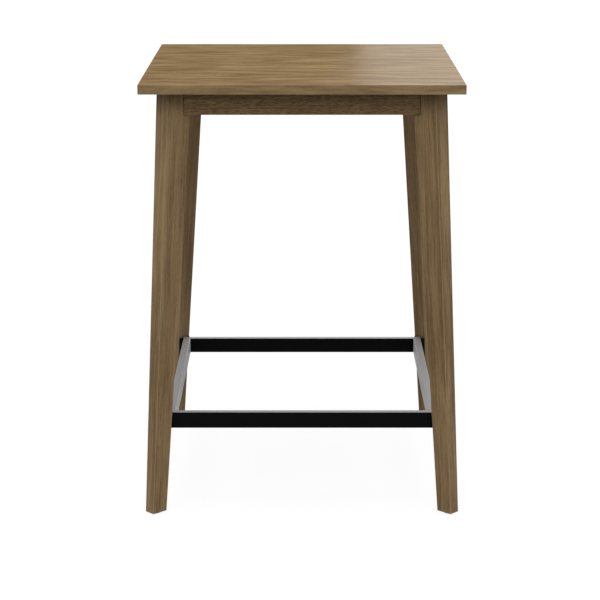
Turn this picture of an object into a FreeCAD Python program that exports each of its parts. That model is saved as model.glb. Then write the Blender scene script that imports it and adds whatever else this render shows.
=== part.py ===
import FreeCAD, Part
import math
import os

# Pub table: a square top, four splayed legs turned to face the corners, aprons between
# the legs and a square steel footrest low down. Millimetres, +Z up, the front faces -Y,
# and the origin is on the floor under the middle of the top.

# Tabletop
table_width = 762.0
table_height = 1063.0
top_thickness = 22.0
top_edge_radius = 0.6

# Aprons
apron_setback = 66.3
apron_height = 58.2
apron_thickness = 18.0
apron_edge_radius = 0.6
apron_end_gap = 0.5

# Legs: depth is along the table's diagonal, width across the inner face. The side faces
# draw in towards the outer face by a share of the depth.
leg_head_depth = 67.6
leg_head_width = 52.6
leg_foot_depth = 41.5
leg_foot_width = 34.5
leg_draft_share = 0.068
leg_foot_inset = 6.8
leg_edge_radius = 1.5

# Corner blocks behind the leg heads
block_seat_inset = 1.6
block_thickness = 32.0
block_height = 48.0

# Hanger bolts with washers and nuts, two for each leg
bolt_radius = 4.0
bolt_spacing = 26.0
bolt_leg_depth = 36.0
bolt_point_length = 6.0
bolt_point_radius = 1.0
bolt_end_length = 4.0
washer_radius = 11.0
washer_thickness = 1.6
nut_across_flats = 13.0
nut_height = 6.5

# Dowels between apron ends and legs
dowel_radius = 4.0
dowel_spacing = 32.0
dowel_apron_length = 20.0
dowel_leg_length = 14.0

# Wood screws
screw_point_length = 4.0
screw_point_radius = 0.5
pan_crown_share = 0.65

# Countersunk screws from the blocks into the aprons
block_screw_radius = 2.0
block_screw_head_radius = 4.0
block_screw_head_height = 2.6
block_screw_length = 28.0
block_screw_edge = 10.5

# Steel clips that hold the top to the aprons
clip_place_share = 0.45
clip_width = 20.0
clip_thickness = 1.6
clip_drop = 11.0
clip_tongue = 5.5
clip_offset = 4.0
clip_flange = 17.0
clip_slot_depth = 6.5
clip_screw_radius = 2.0
clip_screw_head_radius = 3.8
clip_screw_head_height = 2.4
clip_screw_length = 16.0

# Footrest ring of rectangular tube
footrest_top = 248.9
rail_height = 40.0
rail_depth = 20.0
rail_wall = 1.5
rail_corner_radius = 2.0
rail_inner_radius = 0.5
ring_corner_trim = 4.7

# Tabs that hold the ring on the legs, and their screws
tab_head_width = 35.0
tab_foot_width = 24.0
tab_thickness = 3.0
tab_drop = 36.0
tab_corner_radius = 5.0
tab_screw_radius = 2.4
tab_screw_head_radius = 4.6
tab_screw_head_height = 3.0
tab_screw_length = 26.0
tab_screw_spacing = 16.0
tab_screw_edge = 10.0

# Levelling glides under the feet
pad_radius = 11.0
pad_height = 2.7
pad_chamfer = 0.8
pad_gap = 0.3
stem_radius = 4.0
stem_length = 22.0
stem_head_radius = 7.0
stem_head_thickness = 1.4
insert_radius = 6.0
insert_length = 20.0
insert_hole_length = 28.0

# Clearances
fastener_gap = 0.1
running_gap = 0.05
overrun = 5.0

# Corners and sides, counted anticlockwise from the back right corner and from the back
quarter_turn = math.degrees(math.pi / 2)
corner_names = ("back_right", "back_left", "front_left", "front_right")
side_names = ("back", "left", "front", "right")
corner_angles = {name: (count + 1 / 2) * quarter_turn for count, name in enumerate(corner_names)}
side_angles = {name: count * quarter_turn for count, name in enumerate(side_names)}
back_corner_angles = [corner_angles["back_right"], corner_angles["back_left"]]

x_way = FreeCAD.Vector(1, 0, 0)
z_way = FreeCAD.Vector(0, 0, 1)
root_two = math.sqrt(2)

# Places of the top, aprons and legs. Leg places are measured out along the diagonal.
top_underside = table_height - top_thickness
apron_bottom = top_underside - apron_height
apron_outer = table_width / 2 - apron_setback
apron_inner = apron_outer - apron_thickness
apron_middle = (apron_outer + apron_inner) / 2
apron_corner = apron_inner * root_two
leg_base = pad_height + pad_gap
leg_head_inner = apron_corner - leg_head_width / 2 + block_seat_inset
leg_head_outer = leg_head_inner + leg_head_depth
leg_foot_outer = table_width / root_two - leg_foot_inset
leg_foot_inner = leg_foot_outer - leg_foot_depth


def at(x, y, z):
    return FreeCAD.Vector(x, y, z)


def turned(shape, angle):
    copy = shape.copy()
    copy.rotate(at(0, 0, 0), z_way, angle)
    return copy


def around(shapes, angles):
    return [turned(shape, angle) for angle in angles for shape in shapes]


def rod(radius, start, way, length):
    return Part.makeCylinder(radius, length, start, way)


def prism(corners, way):
    return Part.Face(Part.makePolygon(corners + corners[:1])).extrude(way)


# Corner pieces are made in a corner frame: +X out along the diagonal, +Y across it.
# These give the leg's faces there at a height z.


def between_foot_and_head(foot, head, z):
    return foot + (head - foot) * (z - leg_base) / (top_underside - leg_base)


def inner_face(z):
    return between_foot_and_head(leg_foot_inner, leg_head_inner, z)


def outer_face(z):
    return between_foot_and_head(leg_foot_outer, leg_head_outer, z)


def side_face(x, z):
    inner_half = between_foot_and_head(leg_foot_width, leg_head_width, z) / 2
    return inner_half - leg_draft_share * (x - inner_face(z))


def apron_joint(z):
    # Where the middle of an apron's thickness meets the leg's side face
    reach = apron_middle * root_two
    x = (reach - side_face(0, z)) / (1 - leg_draft_share)
    return at(x, reach - x, z)


def tab_back(z):
    return inner_face(z) - tab_thickness


def foot_centre(z):
    return at((leg_foot_inner + leg_foot_outer) / 2, 0, z)


# Places that follow the legs
block_bottom = top_underside - block_height
block_middle = top_underside - block_height / 2
block_back = inner_face(block_middle) - block_thickness
rail_bottom = footrest_top - rail_height
tab_bottom = rail_bottom - tab_drop
ring_outer = (tab_back(footrest_top) + ring_corner_trim) / root_two
ring_inner = ring_outer - rail_depth
clip_web = apron_inner - clip_offset
clip_low = top_underside - clip_drop
clip_flange_low = top_underside - clip_thickness
clip_flange_end = clip_web - clip_thickness - clip_flange
into_leg = at(top_underside - leg_base, 0, leg_foot_inner - leg_head_inner).normalize()


def leaning_solid(z_low, z_high, near, far, half):
    # A wedge that follows the leg's lean: near, far and half are functions of the height.
    # The wedge is made lying down, with its heights along Y, and then stood up.
    wedge = Part.makeWedge(near(z_low), z_low, -half(z_low), -half(z_high), near(z_high),
                           far(z_low), z_high, half(z_low), half(z_high), far(z_high))
    wedge.rotate(at(0, 0, 0), x_way, quarter_turn)
    return wedge


def leg_outline(z, end_growth, side_growth):
    inner = inner_face(z) - end_growth
    outer = outer_face(z) + end_growth
    inner_half = side_face(inner, z) + side_growth
    outer_half = side_face(outer, z) + side_growth
    return [at(inner, -inner_half, z), at(outer, -outer_half, z),
            at(outer, outer_half, z), at(inner, inner_half, z)]


def leg_body(z_low, z_high, end_growth, side_growth):
    # The leg's four-sided body between two heights, grown where something needs room for it
    low = leg_outline(z_low, end_growth, side_growth)
    high = leg_outline(z_high, end_growth, side_growth)
    outlines = [low[::-1], high]
    for count in range(len(low)):
        before = count - 1
        outlines.append([low[before], low[count], high[count], high[before]])
    faces = [Part.Face(Part.makePolygon(corners + corners[:1])) for corners in outlines]
    return Part.makeSolid(Part.makeShell(faces))


# Fasteners and their drilled holes


def drilled(radius, start, way, length):
    return rod(radius + fastener_gap, start, way, length + fastener_gap)


def pointed_rod(radius, start, way, length, point_length, point_radius):
    shank = rod(radius, start, way, length - point_length)
    tip_start = start + way * (length - point_length)
    return shank.fuse(Part.makeCone(radius, point_radius, point_length, tip_start, way))


def screw_shank(radius, start, way, length):
    return pointed_rod(radius, start, way, length, screw_point_length, screw_point_radius)


def pan_head_screw(radius, head_radius, head_height, length, seat, way):
    rim = head_height / 2
    head = rod(head_radius, seat - way * rim, way, rim)
    crown = Part.makeCone(head_radius * pan_crown_share, head_radius, rim, seat - way * head_height, way)
    return head.fuse([crown, screw_shank(radius, seat, way, length)])


def bolt_heights():
    return [block_middle - bolt_spacing / 2, block_middle + bolt_spacing / 2]


def corner_bolts():
    bolts = []
    for z in bolt_heights():
        start = block_back - washer_thickness - nut_height - bolt_end_length
        length = inner_face(z) + bolt_leg_depth - start
        bolts.append(pointed_rod(bolt_radius, at(start, 0, z), x_way, length,
                                 bolt_point_length, bolt_point_radius))
    return bolts


def corner_bolt_holes():
    start = block_back - overrun
    return [drilled(bolt_radius, at(start, 0, z), x_way, inner_face(z) + bolt_leg_depth - start)
            for z in bolt_heights()]


def corner_washers():
    washers = []
    for z in bolt_heights():
        start = at(block_back - washer_thickness, 0, z)
        disc = rod(washer_radius, start, x_way, washer_thickness)
        washers.append(disc.cut(drilled(bolt_radius, start, x_way, washer_thickness)))
    return washers


def corner_nuts():
    nuts = []
    corner_radius = nut_across_flats / 2 / math.cos(math.pi / 6)
    for z in bolt_heights():
        start = at(block_back - washer_thickness - nut_height, 0, z)
        turns = [math.pi * count / 3 for count in range(6)]
        hexagon = [start + at(0, corner_radius * math.cos(turn), corner_radius * math.sin(turn)) for turn in turns]
        nuts.append(prism(hexagon, x_way * nut_height).cut(drilled(bolt_radius, start, x_way, nut_height)))
    return nuts


def corner_dowels(gap):
    # A gap above zero gives the dowels' holes
    dowels = []
    apron_centre = (apron_bottom + top_underside) / 2
    for z in (apron_centre - dowel_spacing / 2, apron_centre + dowel_spacing / 2):
        for across in (-1, 1):
            joint = apron_joint(z)
            way = at(-1, across, 0) / root_two
            start = at(joint.x, across * joint.y, z) - way * (dowel_leg_length + gap)
            length = dowel_leg_length + dowel_apron_length + 2 * gap
            dowels.append(rod(dowel_radius + gap, start, way, length))
    return dowels


def block_screw_starts():
    across = apron_corner - block_back - block_screw_edge
    return [at(block_back, -across, block_middle), at(block_back, across, block_middle)]


def corner_block_screws():
    screws = []
    for start in block_screw_starts():
        head = Part.makeCone(block_screw_head_radius, block_screw_radius, block_screw_head_height, start, x_way)
        screws.append(head.fuse(screw_shank(block_screw_radius, start, x_way, block_screw_length)))
    return screws


def corner_block_screw_holes():
    holes = []
    for start in block_screw_starts():
        sink = Part.makeCone(block_screw_head_radius + fastener_gap, block_screw_radius + fastener_gap,
                             block_screw_head_height, start, x_way)
        holes.append(sink.fuse(drilled(block_screw_radius, start, x_way, block_screw_length)))
    return holes


def tab_screw_seats():
    first = rail_bottom - tab_screw_edge
    heights = [first, first - tab_screw_spacing]
    return [at(inner_face(z), 0, z) - into_leg * tab_thickness for z in heights]


def corner_tab_screws():
    return [pan_head_screw(tab_screw_radius, tab_screw_head_radius, tab_screw_head_height,
                           tab_screw_length, seat, into_leg) for seat in tab_screw_seats()]


def corner_tab_screw_holes():
    return [drilled(tab_screw_radius, seat, into_leg, tab_screw_length) for seat in tab_screw_seats()]


def clip_places():
    joint = apron_joint(apron_bottom)
    apron_half = (joint.x - joint.y) / root_two
    return [-clip_place_share * apron_half, clip_place_share * apron_half]


def clip_screw_seats():
    middle = (clip_web - clip_thickness + clip_flange_end) / 2
    return [at(x, middle, clip_flange_low) for x in clip_places()]


def side_clip_screws():
    return [pan_head_screw(clip_screw_radius, clip_screw_head_radius, clip_screw_head_height,
                           clip_screw_length, seat, z_way) for seat in clip_screw_seats()]


def side_clip_screw_holes():
    return [drilled(clip_screw_radius, seat, z_way, clip_screw_length) for seat in clip_screw_seats()]


# Pieces of one corner


def make_leg():
    leg = leg_body(leg_base, top_underside, 0, 0)
    below_head = [edge for edge in leg.Edges if edge.BoundBox.ZMin < leg_base + leg_edge_radius]
    leg = leg.makeFillet(leg_edge_radius, below_head)
    insert_hole = drilled(insert_radius, foot_centre(leg_base), z_way, insert_hole_length)
    return leg.cut(corner_bolt_holes() + corner_dowels(fastener_gap) + corner_tab_screw_holes() + [insert_hole])


def make_corner_block():
    front = inner_face(block_bottom)
    outline = [at(block_back, block_back - apron_corner, block_bottom),
               at(front, front - apron_corner, block_bottom),
               at(front, apron_corner - front, block_bottom),
               at(block_back, apron_corner - block_back, block_bottom)]
    leg_room = leg_body(leg_base, top_underside + overrun, 0, 0)
    block = prism(outline, z_way * block_height)
    return block.cut([leg_room] + corner_bolt_holes() + corner_block_screw_holes())


def tab_half(z):
    rise_share = (z - tab_bottom) / (footrest_top - tab_bottom)
    return (tab_foot_width + (tab_head_width - tab_foot_width) * rise_share) / 2


def make_footrest_tab():
    tab = leaning_solid(tab_bottom, footrest_top, tab_back, inner_face, tab_half)
    lower = [edge for edge in tab.Edges
             if edge.BoundBox.YLength < fastener_gap and edge.BoundBox.ZMax < tab_bottom + fastener_gap]
    return tab.makeFillet(tab_corner_radius, lower).cut(corner_tab_screw_holes())


def make_glide_insert():
    barrel = rod(insert_radius, foot_centre(leg_base), z_way, insert_length)
    return barrel.cut(rod(stem_radius + running_gap, foot_centre(leg_base), z_way, insert_length))


def make_glide_stem():
    head = rod(stem_head_radius, foot_centre(pad_height - stem_head_thickness), z_way, stem_head_thickness)
    return head.fuse(rod(stem_radius, foot_centre(pad_height), z_way, stem_length)).removeSplitter()


def make_glide_pad():
    sole = Part.makeCone(pad_radius - pad_chamfer, pad_radius, pad_chamfer, foot_centre(0), z_way)
    pad = sole.fuse(rod(pad_radius, foot_centre(pad_chamfer), z_way, pad_height - pad_chamfer))
    return pad.cut(drilled(stem_head_radius, foot_centre(pad_height - stem_head_thickness), z_way,
                           stem_head_thickness))


# Pieces of one side, made at the back (+Y) and turned to the other sides


def side_clips():
    clip_back = clip_web - clip_thickness
    tongue_top = clip_low + clip_thickness
    tongue_end = apron_inner + clip_tongue
    outline = [(tongue_end, clip_low), (clip_back, clip_low), (clip_back, clip_flange_low),
               (clip_flange_end, clip_flange_low), (clip_flange_end, top_underside),
               (clip_web, top_underside), (clip_web, tongue_top), (tongue_end, tongue_top)]
    clips = []
    for x in clip_places():
        corners = [at(x - clip_width / 2, y, z) for y, z in outline]
        clips.append(prism(corners, x_way * clip_width).cut(side_clip_screw_holes()))
    return clips


def clip_slots():
    slots = []
    for x in clip_places():
        start = at(x - clip_width / 2 - fastener_gap, apron_inner - overrun, clip_low - fastener_gap)
        slots.append(Part.makeBox(clip_width + 2 * fastener_gap, clip_slot_depth + overrun,
                                  clip_thickness + 2 * fastener_gap, start))
    return slots


def on_apron_front(edge):
    return edge.BoundBox.YMin > apron_outer - fastener_gap


def make_apron():
    low = at(-apron_middle, apron_inner, apron_bottom)
    board = Part.makeBox(2 * apron_middle, apron_thickness, apron_height, low)
    end_cut = leg_body(apron_bottom - overrun, top_underside + overrun, apron_thickness, apron_end_gap)
    board = board.cut(around([end_cut], back_corner_angles))
    lower = [edge for edge in board.Edges
             if edge.BoundBox.ZMax < apron_bottom + apron_edge_radius and edge.BoundBox.YLength < apron_edge_radius]
    front_ends = [edge for edge in board.Edges
                  if on_apron_front(edge) and edge.BoundBox.ZLength > apron_height / 2]
    board = board.makeFillet(apron_edge_radius, lower + front_ends)
    holes = corner_dowels(fastener_gap) + corner_block_screw_holes()
    return board.cut(around(holes, back_corner_angles) + clip_slots())


def past_ring(z):
    return ring_outer * root_two + overrun


def past_rail(z):
    return rail_depth * root_two


def rounded_bar(wall, radius):
    low = at(-ring_outer, ring_inner + wall, rail_bottom + wall)
    bar = Part.makeBox(2 * ring_outer, rail_depth - 2 * wall, rail_height - 2 * wall, low)
    return bar.makeFillet(radius, [edge for edge in bar.Edges if edge.BoundBox.XLength > ring_outer])


def make_footrest_rail():
    tube = rounded_bar(0, rail_corner_radius).cut(rounded_bar(rail_wall, rail_inner_radius))
    reach = ring_outer + overrun
    base = rail_bottom - overrun
    quarter = [at(0, 0, base), at(reach, reach, base), at(-reach, reach, base)]
    mitred = tube.common(prism(quarter, z_way * (rail_height + 2 * overrun)))
    corner_cut = leaning_solid(base, footrest_top + overrun, tab_back, past_ring, past_rail)
    return mitred.cut(around([corner_cut], back_corner_angles))


def make_tabletop():
    low = at(-table_width / 2, -table_width / 2, top_underside)
    board = Part.makeBox(table_width, table_width, top_thickness, low)
    board = board.makeFillet(top_edge_radius, board.Edges)
    return board.cut(around(side_clip_screw_holes(), side_angles.values()))


def single(shape):
    return shape.Solids[0] if len(shape.Solids) == 1 else shape


def build():
    nodes = {"tabletop": single(make_tabletop())}
    corner_pieces = {"leg": make_leg(), "corner_block": make_corner_block(), "footrest_tab": make_footrest_tab(),
                     "glide_stem": make_glide_stem(), "glide_pad": make_glide_pad()}
    for piece, shape in corner_pieces.items():
        for corner, angle in corner_angles.items():
            nodes[piece + "_" + corner] = turned(single(shape), angle)
    side_pieces = {"apron": make_apron(), "footrest_rail": make_footrest_rail()}
    for piece, shape in side_pieces.items():
        for side, angle in side_angles.items():
            nodes[piece + "_" + side] = turned(single(shape), angle)
    corner_groups = {"leg_bolts": corner_bolts(), "leg_bolt_washers": corner_washers(),
                     "leg_bolt_nuts": corner_nuts(), "apron_dowels": corner_dowels(0),
                     "block_screws": corner_block_screws(), "footrest_screws": corner_tab_screws(),
                     "glide_inserts": [make_glide_insert()]}
    for group, shapes in corner_groups.items():
        nodes[group] = Part.makeCompound(around(shapes, corner_angles.values()))
    side_groups = {"top_clips": side_clips(), "top_clip_screws": side_clip_screws()}
    for group, shapes in side_groups.items():
        nodes[group] = Part.makeCompound(around(shapes, side_angles.values()))
    return nodes


os.makedirs("parts", exist_ok=True)
for name, shape in build().items():
    shape.exportStep(os.path.join("parts", name + ".step"))
    print(name, len(shape.Solids), round(shape.Volume), shape.isValid())
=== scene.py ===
import bmesh
import bpy
import math
from mathutils import Matrix, Vector


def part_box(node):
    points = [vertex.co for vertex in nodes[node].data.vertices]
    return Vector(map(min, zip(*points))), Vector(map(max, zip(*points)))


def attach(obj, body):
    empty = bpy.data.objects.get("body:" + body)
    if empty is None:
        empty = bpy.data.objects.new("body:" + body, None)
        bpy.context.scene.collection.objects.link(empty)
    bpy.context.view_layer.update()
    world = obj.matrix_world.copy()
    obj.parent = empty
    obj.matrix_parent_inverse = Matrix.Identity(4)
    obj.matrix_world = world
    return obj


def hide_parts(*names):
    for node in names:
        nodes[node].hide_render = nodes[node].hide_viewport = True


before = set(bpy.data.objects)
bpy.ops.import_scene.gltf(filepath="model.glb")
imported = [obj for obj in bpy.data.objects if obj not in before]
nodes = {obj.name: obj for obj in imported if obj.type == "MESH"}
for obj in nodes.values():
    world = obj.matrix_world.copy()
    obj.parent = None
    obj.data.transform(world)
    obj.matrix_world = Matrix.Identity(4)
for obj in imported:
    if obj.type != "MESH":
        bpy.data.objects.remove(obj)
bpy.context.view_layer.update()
corners = ("back_right", "back_left", "front_left", "front_right")
sides = ("back", "left", "front", "right")
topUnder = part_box("tabletop")[0].z  # underside of the top
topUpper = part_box("tabletop")[1].z
rightWay, backWay, upright = Vector((1, 0, 0)), Vector((0, 1, 0)), Vector((0, 0, 1))
print("frame loaded,", len(nodes), "nodes")


# small helpers for objects and shader trees

def addObject(name, data):
    thing = bpy.data.objects.new(name, data)
    bpy.context.scene.collection.objects.link(thing)
    return thing


def emptyTree(owner):  # of a material or a world
    owner.use_nodes = True
    owner.node_tree.nodes.clear()
    return owner.node_tree


def grey(value):
    return (value, value, value, 1)


def put(tree, kind, x, y, **settings):
    node = tree.nodes.new(kind)
    node.location = (x, y)
    for name, value in settings.items():
        setattr(node, name, value)
    return node


def wire(tree, source, target):
    tree.links.new(source, target)


def feed(tree, socket, value):  # a link or a plain value
    if isinstance(value, bpy.types.NodeSocket):
        tree.links.new(value, socket)
    else:
        socket.default_value = value


def calc(tree, operation, x, y, a, b=0.0, clamp=False):
    node = put(tree, "ShaderNodeMath", x, y, operation=operation, use_clamp=clamp)
    feed(tree, node.inputs[0], a)
    feed(tree, node.inputs[1], b)
    return node.outputs[0]


def vectorCalc(tree, operation, x, y, *values):
    node = put(tree, "ShaderNodeVectorMath", x, y, operation=operation)
    for index, value in enumerate(values):
        feed(tree, node.inputs[index], value)
    return node.outputs["Value" if operation in ("DOT_PRODUCT", "LENGTH") else "Vector"]


def heightOf(tree, x, y, vector):  # Z of a place or a direction
    split = put(tree, "ShaderNodeSeparateXYZ", x, y)
    wire(tree, vector, split.inputs[0])
    return split.outputs["Z"]


def blendColor(tree, x, y, factor, a, b):
    node = put(tree, "ShaderNodeMix", x, y, data_type="RGBA")
    feed(tree, node.inputs["Factor"], factor)
    feed(tree, node.inputs[6], a)
    feed(tree, node.inputs[7], b)
    return node.outputs[2]


def stretch(tree, x, y, vector, scale, offset=(0, 0, 0)):
    node = put(tree, "ShaderNodeMapping", x, y)
    wire(tree, vector, node.inputs["Vector"])
    node.inputs["Scale"].default_value = scale
    node.inputs["Location"].default_value = offset
    return node.outputs[0]


noiseMiddle = 0.5  # mean of a noise texture


def noise(tree, x, y, vector, detail=2.0, roughness=0.5, scale=1.0):
    node = put(tree, "ShaderNodeTexNoise", x, y)
    wire(tree, vector, node.inputs["Vector"])
    feed(tree, node.inputs["Scale"], scale)
    node.inputs["Detail"].default_value = detail
    node.inputs["Roughness"].default_value = roughness
    return node.outputs


def remap(tree, x, y, value, low, high, toLow=0.0, toHigh=1.0, smooth=False):
    node = put(tree, "ShaderNodeMapRange", x, y, interpolation_type="SMOOTHSTEP" if smooth else "LINEAR")
    for index, item in enumerate((value, low, high, toLow, toHigh)):
        feed(tree, node.inputs[index], item)
    return node.outputs[0]


def newGroup(name, inputs, outputs):
    tree = bpy.data.node_groups.new(name, "ShaderNodeTree")
    for label, kind, value in inputs:
        socket = tree.interface.new_socket(label, in_out="INPUT", socket_type="NodeSocket" + kind)
        if value is not None:
            socket.default_value = value
    for label, kind in outputs:
        tree.interface.new_socket(label, in_out="OUTPUT", socket_type="NodeSocket" + kind)
    return tree, put(tree, "NodeGroupInput", -1500, 0).outputs, put(tree, "NodeGroupOutput", 900, 0).inputs


def maskGroup(name, *inputs):  # inputs are numbers or vectors, and one mask comes out
    sockets = [(label, "Float" if isinstance(value, float) else "Vector", value) for label, value in inputs]
    return newGroup(name, sockets, [("Mask", "Float")])


# wood grain: the input vector is in metres with X along the grain

grainSizes = dict(
    drift=(2.4, 10, 10), driftReach=0.014,  # slow wander of the grain lines
    streak=(13, 190, 190), fibre=(45, 2100, 2100), fleck=(75, 540, 540), pore=(75, 2300, 2300),
    bandCut=(0.32, 0.68), fleckCut=(0.47, 0.66), poreCut=(0.60, 0.70),
    trunk=(0.012, 1, 1), trunkHeart=(0, 0.06, 0.17), ringStep=0.0075, ringWobble=1.6,
    ringRise=(0.1, 0.86), ringDrop=(0.88, 1.0))
grainTones = dict(
    middle=0.62, bandSwing=(-0.5, 0.5), fibre=0.45, poreOffRing=0.45, poreInk=(0.035, 0.022, 0.012, 1))
grainRelief = dict(fibre=0.5, ring=0.18, fleck=0.5)
grainRough = dict(least=0.33, streak=0.14)


def growthRings(tree, line, streak):  # round a trunk that runs along X
    size = grainSizes
    fromHeart = stretch(tree, -600, -500, line, size["trunk"], size["trunkHeart"])
    heart = vectorCalc(tree, "LENGTH", -420, -500, fromHeart)
    count = calc(tree, "DIVIDE", -250, -500, heart, size["ringStep"])
    wobble = calc(tree, "MULTIPLY", -250, -650, streak, size["ringWobble"])
    phase = calc(tree, "FRACT", 60, -500, calc(tree, "ADD", -90, -500, count, wobble))
    rise = remap(tree, 220, -420, phase, *size["ringRise"], 0, 1, True)
    drop = remap(tree, 220, -620, phase, *size["ringDrop"], 1, 0, True)
    return calc(tree, "MULTIPLY", 380, -500, rise, drop)


def woodGrainGroup():
    tree, given, out = newGroup(
        "woodGrain",
        [("Vector", "Vector", None), ("Band Scale", "Vector", (7, 30, 30)),
         ("Light", "Color", (0.3, 0.2, 0.1, 1)), ("Dark", "Color", (0.2, 0.13, 0.07, 1)),
         ("Slow", "Float", 0.6), ("Bands", "Float", 1.0), ("Streaks", "Float", 0.5),
         ("Flecks", "Float", 0.3), ("Rings", "Float", 0.3), ("Pores", "Float", 0.4)],
        [("Color", "Color"), ("Height", "Float"), ("Roughness", "Float")])
    size, tones = grainSizes, grainTones
    wander = noise(tree, -1150, 300, stretch(tree, -1330, 300, given["Vector"], size["drift"]))
    centred = vectorCalc(tree, "SUBTRACT", -980, 300, wander["Color"], (noiseMiddle,) * 3)
    sideways = (0, size["driftReach"], size["driftReach"])
    line = vectorCalc(tree, "MULTIPLY_ADD", -800, 300, centred, sideways, given["Vector"])
    bandPlace = vectorCalc(tree, "MULTIPLY", -600, 500, line, given["Band Scale"])
    band = noise(tree, -420, 500, bandPlace, detail=2.5, roughness=0.6)[0]
    streakPlace = stretch(tree, -600, 250, line, size["streak"])
    streak = noise(tree, -420, 250, streakPlace, detail=3.0, roughness=0.6)[0]
    fibre = noise(tree, -420, 0, stretch(tree, -600, 0, line, size["fibre"]))[0]
    fleckSpots = noise(tree, -420, -120, stretch(tree, -600, -120, line, size["fleck"]))[0]
    poreSpots = noise(tree, -420, -250, stretch(tree, -600, -250, line, size["pore"]), detail=1.0)[0]
    ring = growthRings(tree, line, streak)
    slowTone = calc(tree, "SUBTRACT", -250, 700, wander[0], noiseMiddle)
    bandTone = remap(tree, -250, 500, band, *size["bandCut"], *tones["bandSwing"], True)
    streakTone = calc(tree, "SUBTRACT", -250, 300, streak, noiseMiddle)
    fibreTone = calc(tree, "SUBTRACT", -250, 100, fibre, noiseMiddle)
    fleck = remap(tree, -250, -120, fleckSpots, *size["fleckCut"], 0, 1, True)
    fleckPart = calc(tree, "MULTIPLY", 60, -60, fleck, given["Flecks"])
    ringPart = calc(tree, "MULTIPLY", 60, 850, ring, given["Rings"])
    shares = ((slowTone, given["Slow"]), (bandTone, given["Bands"]),
              (streakTone, given["Streaks"]), (fibreTone, tones["fibre"]))
    tone = tones["middle"]  # 0 dark, 1 light
    for index, (part, share) in enumerate(shares):
        part = calc(tree, "MULTIPLY", -90, 700 - index * 180, part, share)
        tone = calc(tree, "ADD", 60 + index * 140, 500, part, tone)
    tone = calc(tree, "SUBTRACT", 620, 500, tone, fleckPart)
    tone = calc(tree, "SUBTRACT", 760, 500, tone, ringPart)
    color = blendColor(tree, 680, 300, tone, given["Dark"], given["Light"])
    pore = remap(tree, -250, -250, poreSpots, *size["poreCut"], 0, 1, True)
    poreShare = remap(tree, -90, -380, ring, 0, 1, tones["poreOffRing"], 1)
    pore = calc(tree, "MULTIPLY", -90, -250, pore, poreShare)
    poreDepth = calc(tree, "MULTIPLY", 60, -250, pore, given["Pores"])
    wire(tree, blendColor(tree, 820, 200, poreDepth, color, tones["poreInk"]), out["Color"])
    relief = calc(tree, "MULTIPLY", 220, -100, fibre, grainRelief["fibre"])
    relief = calc(tree, "SUBTRACT", 380, -150, relief, poreDepth)
    for x, part, share in ((540, ring, grainRelief["ring"]), (680, fleckPart, grainRelief["fleck"])):
        relief = calc(tree, "SUBTRACT", x, -150, relief, calc(tree, "MULTIPLY", x - 160, -300, part, share))
    wire(tree, relief, out["Height"])
    roughSwing = calc(tree, "MULTIPLY", 380, 0, streak, grainRough["streak"])
    wire(tree, calc(tree, "ADD", 540, 0, roughSwing, grainRough["least"]), out["Roughness"])
    return tree


# edge wear: 1 where two faces meet, broken up by noise

wearForm = dict(edge=(0.999, 0.93), noiseScale=90, noiseCut=(0.35, 0.65), least=0.35)


def edgeWearGroup():
    tree, given, out = maskGroup("edgeWear", ("Vector", None), ("Radius", 0.002), ("Amount", 0.5))
    soft = put(tree, "ShaderNodeBevel", -900, 100, samples=6)
    wire(tree, given["Radius"], soft.inputs["Radius"])
    normal = put(tree, "ShaderNodeNewGeometry", -900, -100).outputs["Normal"]
    facing = vectorCalc(tree, "DOT_PRODUCT", -700, 0, soft.outputs[0], normal)
    edge = remap(tree, -500, 0, facing, *wearForm["edge"])
    breakUp = noise(tree, -700, -300, given["Vector"], detail=3.0, scale=wearForm["noiseScale"])[0]
    worn = remap(tree, -500, -300, breakUp, *wearForm["noiseCut"], wearForm["least"], 1)
    worn = calc(tree, "MULTIPLY", -300, 0, edge, worn)
    wire(tree, calc(tree, "MULTIPLY", -100, 0, worn, given["Amount"], clamp=True), out["Mask"])
    return tree


# painted highlight on rounded edges: 1 where the normal lies between two of the board's own directions

arrisHighlightCut = (0.2, 0.4)


def arrisHighlightGroup():
    tree, given, out = maskGroup("paintedArrisHighlight", ("Across", (0, 1, 0)), ("Third", (0, 0, 1)), ("Amount", 0.5))
    normal = put(tree, "ShaderNodeNewGeometry", -900, 0).outputs["Normal"]
    parts = []
    for label, y in (("Across", 100), ("Third", -100)):
        lean = vectorCalc(tree, "DOT_PRODUCT", -700, y, normal, given[label])
        parts.append(calc(tree, "ABSOLUTE", -500, y, lean))
    between = remap(tree, -150, 0, calc(tree, "MULTIPLY", -300, 0, *parts), *arrisHighlightCut, 0, 1, True)
    wire(tree, calc(tree, "MULTIPLY", 0, 0, between, given["Amount"]), out["Mask"])
    return tree


# crevice shade: painted shade where two boards meet, darker where ambient occlusion finds another part close
# by

creviceForm = dict(openness=(0.95, 0.5), noiseScale=60, noiseCut=(0.3, 0.7), least=0.75)


def creviceGroup():
    tree, given, out = maskGroup("crevice", ("Vector", None), ("Reach", 0.005), ("Amount", 0.5))
    around = put(tree, "ShaderNodeAmbientOcclusion", -700, 0, samples=6)
    wire(tree, given["Reach"], around.inputs["Distance"])
    shut = remap(tree, -500, 0, around.outputs["AO"], *creviceForm["openness"])
    breakUp = noise(tree, -700, -250, given["Vector"], scale=creviceForm["noiseScale"])[0]
    uneven = remap(tree, -500, -250, breakUp, *creviceForm["noiseCut"], creviceForm["least"], 1)
    shut = calc(tree, "MULTIPLY", -300, 0, shut, uneven)
    wire(tree, calc(tree, "MULTIPLY", -100, 0, shut, given["Amount"], clamp=True), out["Mask"])
    return tree


# shade on the frame just below the top, gone at the given reach

underTopPower = 1.5


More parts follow.
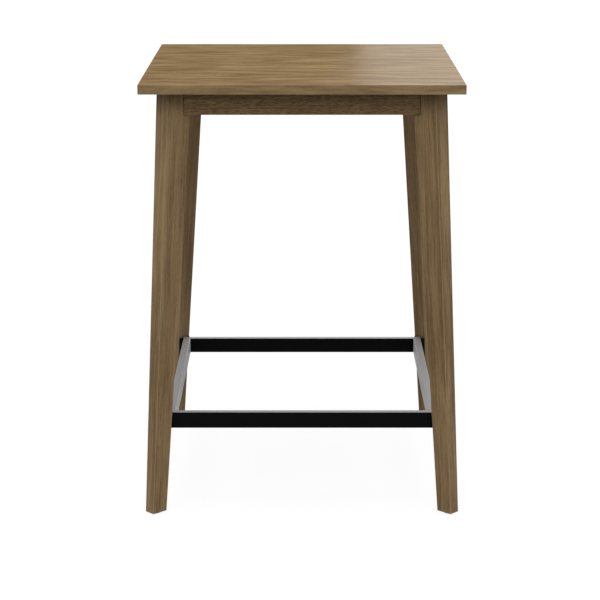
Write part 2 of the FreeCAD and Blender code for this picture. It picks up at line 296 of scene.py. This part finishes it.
def underTopGroup():
    tree, given, out = maskGroup("underTop", ("Vector", None), ("Reach", 0.05), ("Amount", 0.5))
    start = calc(tree, "SUBTRACT", -900, -200, topUnder, given["Reach"])
    shade = remap(tree, -600, 0, heightOf(tree, -900, 0, given["Vector"]), start, topUnder)
    shade = calc(tree, "POWER", -400, 0, shade, underTopPower)
    wire(tree, calc(tree, "MULTIPLY", -200, 0, shade, given["Amount"]), out["Mask"])
    return tree


# speckle: fine unevenness of paint, plating and moulded plastic

speckleCut = (0.3, 0.7)


def speckleGroup():
    tree, given, out = newGroup(
        "speckle",
        [("Vector", "Vector", None), ("Scale", "Float", 100), ("Deep", "Color", grey(0)),
         ("Pale", "Color", grey(1)), ("Smooth", "Float", 0.3), ("Rough", "Float", 0.5)],
        [("Color", "Color"), ("Height", "Float"), ("Roughness", "Float")])
    speck = noise(tree, -600, 0, given["Vector"], detail=3.0, scale=given["Scale"])[0]
    wire(tree, blendColor(tree, -200, 200, speck, given["Deep"], given["Pale"]), out["Color"])
    wire(tree, speck, out["Height"])
    rough = remap(tree, -200, -100, speck, *speckleCut, given["Smooth"], given["Rough"])
    wire(tree, rough, out["Roughness"])
    return tree


groups = dict(
    grain=woodGrainGroup(), wear=edgeWearGroup(), arrisHighlight=arrisHighlightGroup(),
    crevice=creviceGroup(), underTop=underTopGroup(), speckle=speckleGroup())


def useGroup(tree, name, x, y, vector, **values):
    node = put(tree, "ShaderNodeGroup", x, y, node_tree=groups[name])
    if vector:
        wire(tree, vector, node.inputs["Vector"])
    for label, value in values.items():
        node.inputs[label].default_value = value
    return node.outputs


def newMaterial(name):
    material = bpy.data.materials.new(name)
    tree = emptyTree(material)
    shader = put(tree, "ShaderNodeBsdfPrincipled", 300, 0)
    wire(tree, shader.outputs[0], put(tree, "ShaderNodeOutputMaterial", 600, 0).inputs[0])
    where = put(tree, "ShaderNodeTexCoord", -1100, 0).outputs["Object"]
    return material, tree, shader.inputs, where


def bump(tree, x, y, height, strength, distance):
    node = put(tree, "ShaderNodeBump", x, y)
    wire(tree, height, node.inputs["Height"])
    node.inputs["Strength"].default_value = strength
    node.inputs["Distance"].default_value = distance
    return node.outputs[0]


# stained satin wood, one material for each board so that no two share a figure

# the worn tone is lighter edge wear, and also the painted highlight along rounded arrises of legs and blocks
stainLight, stainDark, stainWornAndHighlight = (0.400, 0.270, 0.131, 1), (0.205, 0.126, 0.054, 1), (0.42, 0.30, 0.16, 1)
# colour of the painted shade in crevices and just below the top
paintedShadeColor = (0.030, 0.020, 0.011, 1)
grainBump = 0.5
topLook = dict(
    grain={"Light": stainLight, "Dark": stainDark, "Band Scale": (6, 33, 33),
           "Slow": 0.5, "Bands": 0.74, "Streaks": 1.4, "Flecks": 0.2, "Rings": 0.12, "Pores": 0.5},
    wear=dict(Radius=0.0008, Amount=0.3), worn=stainWornAndHighlight, arrisHighlight=None,
    crevice=dict(Reach=0.006, Amount=0.5), underTop=None, gloss=0.2, relief=0.0003)
apronLook = dict(
    grain={"Light": (0.400, 0.266, 0.131, 1), "Dark": (0.180, 0.111, 0.049, 1), "Band Scale": (9, 90, 90),
           "Slow": 0.6, "Bands": 0.4, "Streaks": 0.95, "Flecks": 1.35, "Rings": 0.16, "Pores": 0.6},
    wear=dict(Radius=0.0015, Amount=0.2), worn=stainWornAndHighlight, arrisHighlight=None,
    crevice=dict(Reach=0.007, Amount=1.0), underTop=dict(Reach=0.030, Amount=0.8), gloss=0.1, relief=0.0005)
legLook = dict(
    grain={"Light": (0.430, 0.292, 0.145, 1), "Dark": (0.220, 0.136, 0.061, 1), "Band Scale": (2.4, 62, 62),
           "Slow": 1.5, "Bands": 0.6, "Streaks": 1.45, "Flecks": 0.22, "Rings": 0.12, "Pores": 0.5},
    wear=dict(Radius=0.0015, Amount=0.35), worn=stainWornAndHighlight, arrisHighlight=0.9,
    crevice=dict(Reach=0.005, Amount=0.8), underTop=dict(Reach=0.060, Amount=0.64),
    gloss=0.12, relief=0.0003)
blockLook = dict(
    grain={"Light": (0.60, 0.45, 0.28, 1), "Dark": (0.43, 0.30, 0.17, 1), "Band Scale": (6, 60, 60),
           "Slow": 0.4, "Bands": 0.4, "Streaks": 0.5, "Flecks": 0.1, "Rings": 0.5, "Pores": 0.2},
    wear=dict(Radius=0.001, Amount=0.2), worn=(0.66, 0.52, 0.35, 1), arrisHighlight=0.4,
    crevice=dict(Reach=0.006, Amount=0.4), underTop=None, gloss=0.25, relief=0.0004)


def woodMaterial(name, look, along, up, shift):
    material, tree, shader, where = newMaterial(name)
    along = along.normalized()
    across = up.cross(along).normalized()
    third = along.cross(across)
    board = put(tree, "ShaderNodeMapping", -900, 0)
    wire(tree, where, board.inputs["Vector"])
    board.inputs["Rotation"].default_value = Matrix((along, across, third)).to_euler()
    board.inputs["Location"].default_value = shift
    grain = useGroup(tree, "grain", -600, 100, board.outputs[0], **look["grain"])
    layers = [(useGroup(tree, "wear", -600, -250, where, **look["wear"]), look["worn"])]
    # painted highlight: the rounded arrises of legs and blocks get the lighter worn tone
    if look["arrisHighlight"]:
        ownWays = dict(Across=across, Third=third)
        arrisHighlight = useGroup(tree, "arrisHighlight", -600, -450, None, Amount=look["arrisHighlight"], **ownWays)
        layers.append((arrisHighlight, look["worn"]))
    # painted shade: darker in crevices, and on the frame just below the top
    layers.append((useGroup(tree, "crevice", -600, -650, where, **look["crevice"]), paintedShadeColor))
    if look["underTop"]:
        layers.append((useGroup(tree, "underTop", -600, -850, where, **look["underTop"]), paintedShadeColor))
    color = grain["Color"]
    for index, (layer, tint) in enumerate(layers):
        color = blendColor(tree, -350 + index * 150, 200, layer["Mask"], color, tint)
    wire(tree, color, shader["Base Color"])
    wire(tree, grain["Roughness"], shader["Roughness"])
    wire(tree, bump(tree, -200, -300, grain["Height"], grainBump, look["relief"]), shader["Normal"])
    shader["Specular IOR Level"].default_value = look["gloss"]
    return material


def dress(name, material):
    nodes[name].data.materials.clear()
    nodes[name].data.materials.append(material)


def dressBoard(name, materialName, look, along, up, shift):
    dress(name, woodMaterial(materialName, look, along, up, shift))


endFaceReach = 0.0005


def endCentre(name, high):  # middle of a node's top or bottom face
    low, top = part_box(name)
    level = top.z if high else low.z
    points = [v.co for v in nodes[name].data.vertices if abs(v.co.z - level) < endFaceReach]
    return sum(points, Vector()) / len(points)


grainShift = dict(  # moves each board to another place in the grain
    top=(0.2, 0.05, -1.06), dowels=(0, 0, 0), apronStep=Vector((1.3, 0.37, 0.11)), apronFactor=0.731,
    legStep=Vector((2.1, 0.23, 0.07)),
    legFactor=dict(back_right=0.73, back_left=1.46, front_left=1.26, front_right=4.52))


def dressWood():
    dressBoard("tabletop", "topWood", topLook, rightWay, upright, grainShift["top"])
    for count, side in enumerate(sides):
        along = rightWay if side in ("front", "back") else backWay
        shift = grainShift["apronStep"] * (count + 1) * grainShift["apronFactor"]
        dressBoard("apron_" + side, "apronWood_" + side, apronLook, along, upright, shift)
    for corner in corners:
        leg, block = "leg_" + corner, "corner_block_" + corner
        along = endCentre(leg, True) - endCentre(leg, False)
        outward = Vector((-along.x, -along.y, 0)).normalized()
        shift = grainShift["legStep"] * grainShift["legFactor"][corner]
        dressBoard(leg, "legWood_" + corner, legLook, along, outward, shift)
        dressBoard(block, "blockWood_" + corner, blockLook, upright.cross(outward), outward, shift)
    dressBoard("apron_dowels", "dowelWood", blockLook, rightWay + backWay, upright, grainShift["dowels"])


dressWood()
print("wood dressed")


# black paint on the footrest: deep black face on, glossy at a low angle, most on the tops that shoes rub

blackPaint = dict(
    mottle=dict(Scale=35, Deep=grey(0.0016), Pale=grey(0.0034), Smooth=0.30, Rough=0.38),
    wear=dict(Radius=0.0012, Amount=0.4), worn=grey(0.012), peelScale=650, peelBump=0.3, peel=0.00004,
    shineRise=(0.40, 0.67), shineFade=(0.73, 0.92), shineLeft=0.15, sideShine=0.45, topSlope=(0.3, 0.9),
    sockets={"Specular IOR Level": 0.03, "Coat IOR": 4.8, "Coat Roughness": 0.5,
             "Sheen Weight": 0.7, "Sheen Roughness": 0.35})


def paintMaterial(name, paint):
    material, tree, shader, where = newMaterial(name)
    mottle = useGroup(tree, "speckle", -600, 100, where, **paint["mottle"])
    wear = useGroup(tree, "wear", -600, -450, where, **paint["wear"])
    wire(tree, blendColor(tree, 0, 250, wear["Mask"], mottle["Color"], paint["worn"]), shader["Base Color"])
    wire(tree, mottle["Roughness"], shader["Roughness"])
    peel = noise(tree, -600, -200, where, scale=paint["peelScale"])[0]
    wire(tree, bump(tree, -200, -250, peel, paint["peelBump"], paint["peel"]), shader["Normal"])
    grazing = put(tree, "ShaderNodeLayerWeight", -400, -600).outputs["Facing"]
    rise = remap(tree, -200, -600, grazing, *paint["shineRise"], 0, 1, True)
    fade = remap(tree, -200, -800, grazing, *paint["shineFade"], 1, paint["shineLeft"], True)
    normal = put(tree, "ShaderNodeNewGeometry", -600, -1000).outputs["Normal"]
    slope = heightOf(tree, -400, -1000, normal)
    upward = remap(tree, -200, -1000, slope, *paint["topSlope"], paint["sideShine"], 1, True)
    shine = calc(tree, "MULTIPLY", 0, -700, rise, fade)
    wire(tree, calc(tree, "MULTIPLY", 150, -800, shine, upward), shader["Coat Weight"])
    for socket, value in paint["sockets"].items():
        shader[socket].default_value = value
    return material


finishes = dict(paint=paintMaterial("blackPaint", blackPaint))


def dressSteel():
    for side in sides:
        dress("footrest_rail_" + side, finishes["paint"])
    for corner in corners:
        dress("footrest_tab_" + corner, finishes["paint"])


dressSteel()
print("footrest dressed")


# zinc plated hardware and nylon pads

zincPlate = dict(
    speck=dict(Scale=420, Deep=(0.46, 0.46, 0.44, 1), Pale=(0.66, 0.66, 0.64, 1), Smooth=0.28, Rough=0.42),
    bump=0.2, relief=0.00003, metal=1.0)
blackNylon = dict(
    speck=dict(Scale=900, Deep=grey(0.012), Pale=grey(0.026), Smooth=0.45, Rough=0.62),
    bump=0.3, relief=0.00005, metal=0.0)


def speckledMaterial(name, look):
    material, tree, shader, where = newMaterial(name)
    speck = useGroup(tree, "speckle", -600, 100, where, **look["speck"])
    wire(tree, speck["Color"], shader["Base Color"])
    wire(tree, speck["Roughness"], shader["Roughness"])
    wire(tree, bump(tree, -200, -250, speck["Height"], look["bump"], look["relief"]), shader["Normal"])
    shader["Metallic"].default_value = look["metal"]
    return material


finishes["zinc"] = speckledMaterial("zincPlate", zincPlate)
finishes["nylon"] = speckledMaterial("padNylon", blackNylon)


def dressHardware():
    for name in ("leg_bolt_washers", "top_clips", "glide_inserts"):
        dress(name, finishes["zinc"])
    for corner in corners:
        dress("glide_stem_" + corner, finishes["zinc"])
        dress("glide_pad_" + corner, finishes["nylon"])


dressHardware()
print("hardware dressed")


# fasteners with recesses, chamfers and threads, each where the plain CAD one is

sameSpot, tipReach = 1e-6, 0.0012  # metres
nearUpright = 0.9
creaseAngle = math.radians(35)


def islands(name):  # points of each loose solid in a CAD node
    shape = bmesh.new()
    shape.from_mesh(nodes[name].data)
    bmesh.ops.remove_doubles(shape, verts=shape.verts, dist=sameSpot)
    seen, found = set(), []
    for first in shape.verts:
        if first in seen:
            continue
        seen.add(first)
        waiting, points = [first], []
        while waiting:
            vert = waiting.pop()
            points.append(vert.co.copy())
            for edge in vert.link_edges:
                other = edge.other_vert(vert)
                if other not in seen:
                    seen.add(other)
                    waiting.append(other)
        found.append(points)
    shape.free()
    return found


def tipWay(points):  # a screw's points crowd at its head, so the farthest ones are its tip
    middle = sum(points, Vector()) / len(points)
    tip = max(points, key=lambda p: (p - middle).length)
    near = [p for p in points if (p - tip).length < tipReach]
    return (sum(near, Vector()) / len(near) - middle).normalized()


def outWay(points):  # level, from the middle of the table to its corner
    middle = sum(points, Vector()) / len(points)
    return Vector((math.copysign(1, middle.x), math.copysign(1, middle.y), 0)).normalized()


def upWay(points):
    return upright


def seat(points, way):  # turn and place of a fastener's outer end, Z going in
    side = way.cross(upright if abs(way.z) < nearUpright else backWay).normalized()
    up = way.cross(side)
    middle = Vector()
    for axis in (side, up):
        reach = [p.dot(axis) for p in points]
        middle += axis * (min(reach) + max(reach)) / 2
    middle += way * min(p.dot(way) for p in points)
    return Matrix((side, up, way)).transposed().to_4x4(), middle


def ring(shape, points):
    return [shape.verts.new(p) for p in points]


def onCircle(radius, z, i, count):
    angle = i * (2 * math.pi / count)
    return Vector((radius * math.cos(angle), radius * math.sin(angle), z))


def circle(radius, z, count):
    return [onCircle(radius, z, i, count) for i in range(count)]


def bridge(shape, a, b):
    count = len(a)
    for i in range(count):
        shape.faces.new((a[i], a[(i + 1) % count], b[(i + 1) % count], b[i]))


def bridgeAll(shape, rings):
    for a, b in zip(rings, rings[1:]):
        bridge(shape, a, b)


def loopEdges(shape, verts):
    pairs = zip(verts, verts[1:] + verts[:1])
    return [shape.edges.get(pair) or shape.edges.new(pair) for pair in pairs]


crossForm = dict(arm=0.56, half=0.15, floorShare=0.5)  # arm and half are shares of the head's radius


def crossRecess(shape, rim, radius, depth):  # closes a head's flat top and sinks a cross in it
    arm, half, floorShare = radius * crossForm["arm"], radius * crossForm["half"], crossForm["floorShare"]
    outline = []
    for i in range(4):
        spin = Matrix.Rotation(i * math.pi / 2, 3, "Z")
        outline += [spin @ Vector((x, y, 0)) for x, y in ((arm, -half), (arm, half), (half, half))]
    top = ring(shape, outline)
    floor = ring(shape, [Vector((p.x * floorShare, p.y * floorShare, depth)) for p in outline])
    bmesh.ops.triangle_fill(shape, edges=loopEdges(shape, rim) + loopEdges(shape, top), use_beauty=True)
    bridge(shape, top, floor)
    shape.faces.new(floor)


screwForm = dict(  # a count of facets, then shares of the head, the shank and the pitch
    facets=20, dome=((0.66, 0), (0.82, 0.14), (0.94, 0.38), (1, 0.72), (1, 1)), domeCross=0.9,
    crossDepth=0.7, root=0.8, ridgeStart=0.3, ridgeEnd=0.2)


def screwShape(shape, screw):
    head, high, shank, pitch = screw["head"], screw["high"], screw["shank"], screw["pitch"]
    root = shank * screwForm["root"]
    if screw["flat"]:
        profile = [(head, 0), (shank, high)]
    else:
        profile = [(head * a, high * b) for a, b in screwForm["dome"]]
    turns = int((screw["long"] - high - screw["point"]) / pitch)
    for turn in range(turns):  # thread ridges
        z = high + (turn + 0.5) * pitch
        start, end = z - pitch * screwForm["ridgeStart"], z + pitch * screwForm["ridgeEnd"]
        profile += [(root, start), (shank, z), (root, end)]
    profile += [(root, screw["long"] - screw["point"]), (screw["tip"], screw["long"])]
    rings = [ring(shape, circle(radius, z, screwForm["facets"])) for radius, z in profile]
    bridgeAll(shape, rings)
    shape.faces.new(rings[-1])
    crossSize = head * (1 if screw["flat"] else screwForm["domeCross"])
    crossRecess(shape, rings[0], crossSize, high * screwForm["crossDepth"])


boltForm = dict(facets=24, rowsPerTurn=6, endDepths=1.4)


def boltShape(shape, bolt):
    radius, pitch, depth, threaded = bolt["radius"], bolt["pitch"], bolt["depth"], bolt["threaded"]
    count = boltForm["facets"]
    rows = int(threaded / pitch * boltForm["rowsPerTurn"])
    rings = [ring(shape, circle(radius - depth * boltForm["endDepths"], 0, count))]
    for row in range(1, rows + 1):  # helical thread, chamfered at the outer end
        z = threaded * row / rows
        points = []
        for i in range(count):
            phase = (z / pitch + i / count) % 1
            deep = depth * (1 - abs(2 * phase - 1))
            points.append(onCircle(min(radius - deep, radius - depth + z), z, i, count))
        rings.append(ring(shape, points))
    pointStart = bolt["long"] - bolt["point"]
    for size, z in ((radius, threaded + pitch), (radius, pointStart), (bolt["tip"], bolt["long"])):
        rings.append(ring(shape, circle(size, z, count)))
    bridgeAll(shape, rings)
    shape.faces.new(rings[0])
    shape.faces.new(rings[-1])


nutForm = dict(facets=24, flatTurn=60, land=0.97, chamferSlope=math.radians(30))


def nutShape(shape, nut):
    count, high, bore, chamfer = nutForm["facets"], nut["high"], nut["bore"], nut["chamfer"]
    half, mouth = nut["flats"] / 2, bore + chamfer
    land, flatTurn = half * nutForm["land"], nutForm["flatTurn"]
    lower, upper = [], []
    for i in range(count):  # six flats, with the corners drawn in at both ends
        fromFlat = (i * 360 / count + flatTurn / 2) % flatTurn - flatTurn / 2
        size = half / math.cos(math.radians(fromFlat))
        drop = (size - land) * math.tan(nutForm["chamferSlope"])
        lower.append(onCircle(size, drop, i, count))
        upper.append(onCircle(size, high - drop, i, count))
    loops = [circle(mouth, 0, count), circle(land, 0, count), lower, upper]
    loops += [circle(land, high, count), circle(mouth, high, count)]
    loops += [circle(bore, high - chamfer, count), circle(bore, chamfer, count)]
    rings = [ring(shape, points) for points in loops]
    bridgeAll(shape, rings + rings[:1])


def makeFasteners(node, build, spec, way, material):
    whole = bmesh.new()
    for points in islands(node):
        direction = way(points)
        turn, place = seat(points, direction)
        reach = [p.dot(direction) for p in points]
        one = bmesh.new()
        build(one, dict(spec, long=max(reach) - min(reach)))
        bmesh.ops.recalc_face_normals(one, faces=one.faces)
        bmesh.ops.transform(one, matrix=Matrix.Translation(place) @ turn, verts=one.verts)
        part = bpy.data.meshes.new("fastenerPart")
        one.to_mesh(part)
        one.free()
        whole.from_mesh(part)
        bpy.data.meshes.remove(part)
    mesh = bpy.data.meshes.new(node + "_fine")
    whole.to_mesh(mesh)
    whole.free()
    mesh.shade_smooth()
    mesh.set_sharp_from_angle(angle=creaseAngle)
    mesh.materials.append(material)
    thing = addObject(node + "_fine", mesh)
    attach(thing, "table")
    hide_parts(node)


tabScrew = dict(head=0.0046, high=0.003, shank=0.0024, pitch=0.0022, point=0.004, tip=0.0005, flat=False)
clipScrew = dict(head=0.0038, high=0.0024, shank=0.002, pitch=0.0018, point=0.004, tip=0.0005, flat=False)
blockScrew = dict(head=0.004, high=0.0026, shank=0.002, pitch=0.0018, point=0.004, tip=0.0005, flat=True)
legBolt = dict(radius=0.004, pitch=0.00125, depth=0.0006, threaded=0.0065, point=0.006, tip=0.001)
legNut = dict(flats=0.013, high=0.0065, bore=0.00402, chamfer=0.0005)
makeFasteners("footrest_screws", screwShape, tabScrew, tipWay, finishes["paint"])
makeFasteners("top_clip_screws", screwShape, clipScrew, upWay, finishes["zinc"])
makeFasteners("block_screws", screwShape, blockScrew, outWay, finishes["zinc"])
makeFasteners("leg_bolts", boltShape, legBolt, outWay, finishes["zinc"])
makeFasteners("leg_bolt_nuts", nutShape, legNut, outWay, finishes["zinc"])
print("fasteners made")


# studio: white surroundings, soft light from above, a dark card that keeps glare off most of the top

studio = dict(
    skyLight=0.30, floorSize=60, floorBounce=0.26, floorShow=0.15, floorGlow=0.89,
    suns=dict(  # strength, then lean and spread in degrees
        topSun=(1.76, 0, 50), frontSun=(0.53, 40, 50), lowSun=(0.38, 60, 40)),
    cardBehind=1.0, cardRight=0.181, cardLeft=-4.0, cardLow=0.012, cardHigh=1.7)


def mixSeen(tree, lights, shows):  # camera, glossy and transmission rays see the white surroundings
    path = put(tree, "ShaderNodeLightPath", -800, 0).outputs
    seen = calc(tree, "ADD", -600, 0, path["Is Camera Ray"], path["Is Glossy Ray"])
    seen = calc(tree, "ADD", -400, 0, seen, path["Is Transmission Ray"], clamp=True)
    mix = put(tree, "ShaderNodeMixShader", 250, 0)
    for index, source in enumerate((seen, lights.outputs[0], shows.outputs[0])):
        wire(tree, source, mix.inputs[index])
    return mix.outputs[0]


def makeWorld():
    world = bpy.data.worlds.new("studioWorld")
    bpy.context.scene.world = world
    tree = emptyTree(world)
    light = put(tree, "ShaderNodeBackground", 0, 100)
    light.inputs["Strength"].default_value = studio["skyLight"]
    white = put(tree, "ShaderNodeBackground", 0, -100)
    for sky in (light, white):
        sky.inputs["Color"].default_value = grey(1)
    wire(tree, mixSeen(tree, light, white), put(tree, "ShaderNodeOutputWorld", 450, 0).inputs[0])


def sheet(name, points):
    mesh = bpy.data.meshes.new(name)
    mesh.from_pydata(points, [], [tuple(range(len(points)))])
    thing = addObject(name, mesh)
    return thing


def makeFloor():
    half = studio["floorSize"] / 2
    floor = sheet("floor", [(-half, -half, 0), (half, -half, 0), (half, half, 0), (-half, half, 0)])
    material = bpy.data.materials.new("paleFloor")
    tree = emptyTree(material)
    bounce = put(tree, "ShaderNodeBsdfDiffuse", 0, 200)
    bounce.inputs["Color"].default_value = grey(studio["floorBounce"])
    shown = put(tree, "ShaderNodeBsdfDiffuse", -200, -100)
    shown.inputs["Color"].default_value = grey(studio["floorShow"])
    glow = put(tree, "ShaderNodeEmission", -200, -250)
    glow.inputs["Strength"].default_value = studio["floorGlow"]
    white = put(tree, "ShaderNodeAddShader", 0, -100)
    wire(tree, shown.outputs[0], white.inputs[0])
    wire(tree, glow.outputs[0], white.inputs[1])
    wire(tree, mixSeen(tree, bounce, white), put(tree, "ShaderNodeOutputMaterial", 450, 0).inputs[0])
    floor.data.materials.append(material)


def makeCard():
    y = studio["cardBehind"]
    bottom, top = topUpper + studio["cardLow"], topUpper + studio["cardHigh"]
    left, right = studio["cardLeft"], studio["cardRight"]
    card = sheet("glareCard", [(left, y, bottom), (right, y, bottom), (right, y, top), (left, y, top)])
    material = bpy.data.materials.new("cardBlack")
    material.use_nodes = True
    shader = material.node_tree.nodes["Principled BSDF"].inputs
    shader["Base Color"].default_value = grey(0)
    shader["Specular IOR Level"].default_value = 0
    card.data.materials.append(material)
    for kind in ("camera", "diffuse", "transmission", "volume_scatter", "shadow"):
        setattr(card, "visible_" + kind, False)


def makeSuns():
    for name, (strength, lean, spread) in studio["suns"].items():
        lamp = bpy.data.lights.new(name, "SUN")
        lamp.energy = strength
        lamp.angle = math.radians(spread)
        addObject(name, lamp).rotation_euler = (math.radians(lean), 0, 0)


view = dict(place=(0, -4.5424, 1.6760), down=15.158, lens=108.432, sensor=36, shift=-0.003262, farthest=200)


def makeCamera():
    data = bpy.data.cameras.new("photoCamera")
    data.lens = view["lens"]
    data.sensor_width = view["sensor"]
    data.shift_x = view["shift"]
    data.clip_end = view["farthest"]
    thing = addObject("photoCamera", data)
    thing.location = view["place"]
    thing.rotation_euler = (math.radians(90 - view["down"]), 0, 0)
    bpy.context.scene.camera = thing


makeWorld()
makeFloor()
makeCard()
makeSuns()
makeCamera()
bpy.context.scene.view_settings.view_transform = "Standard"
print("studio ready")
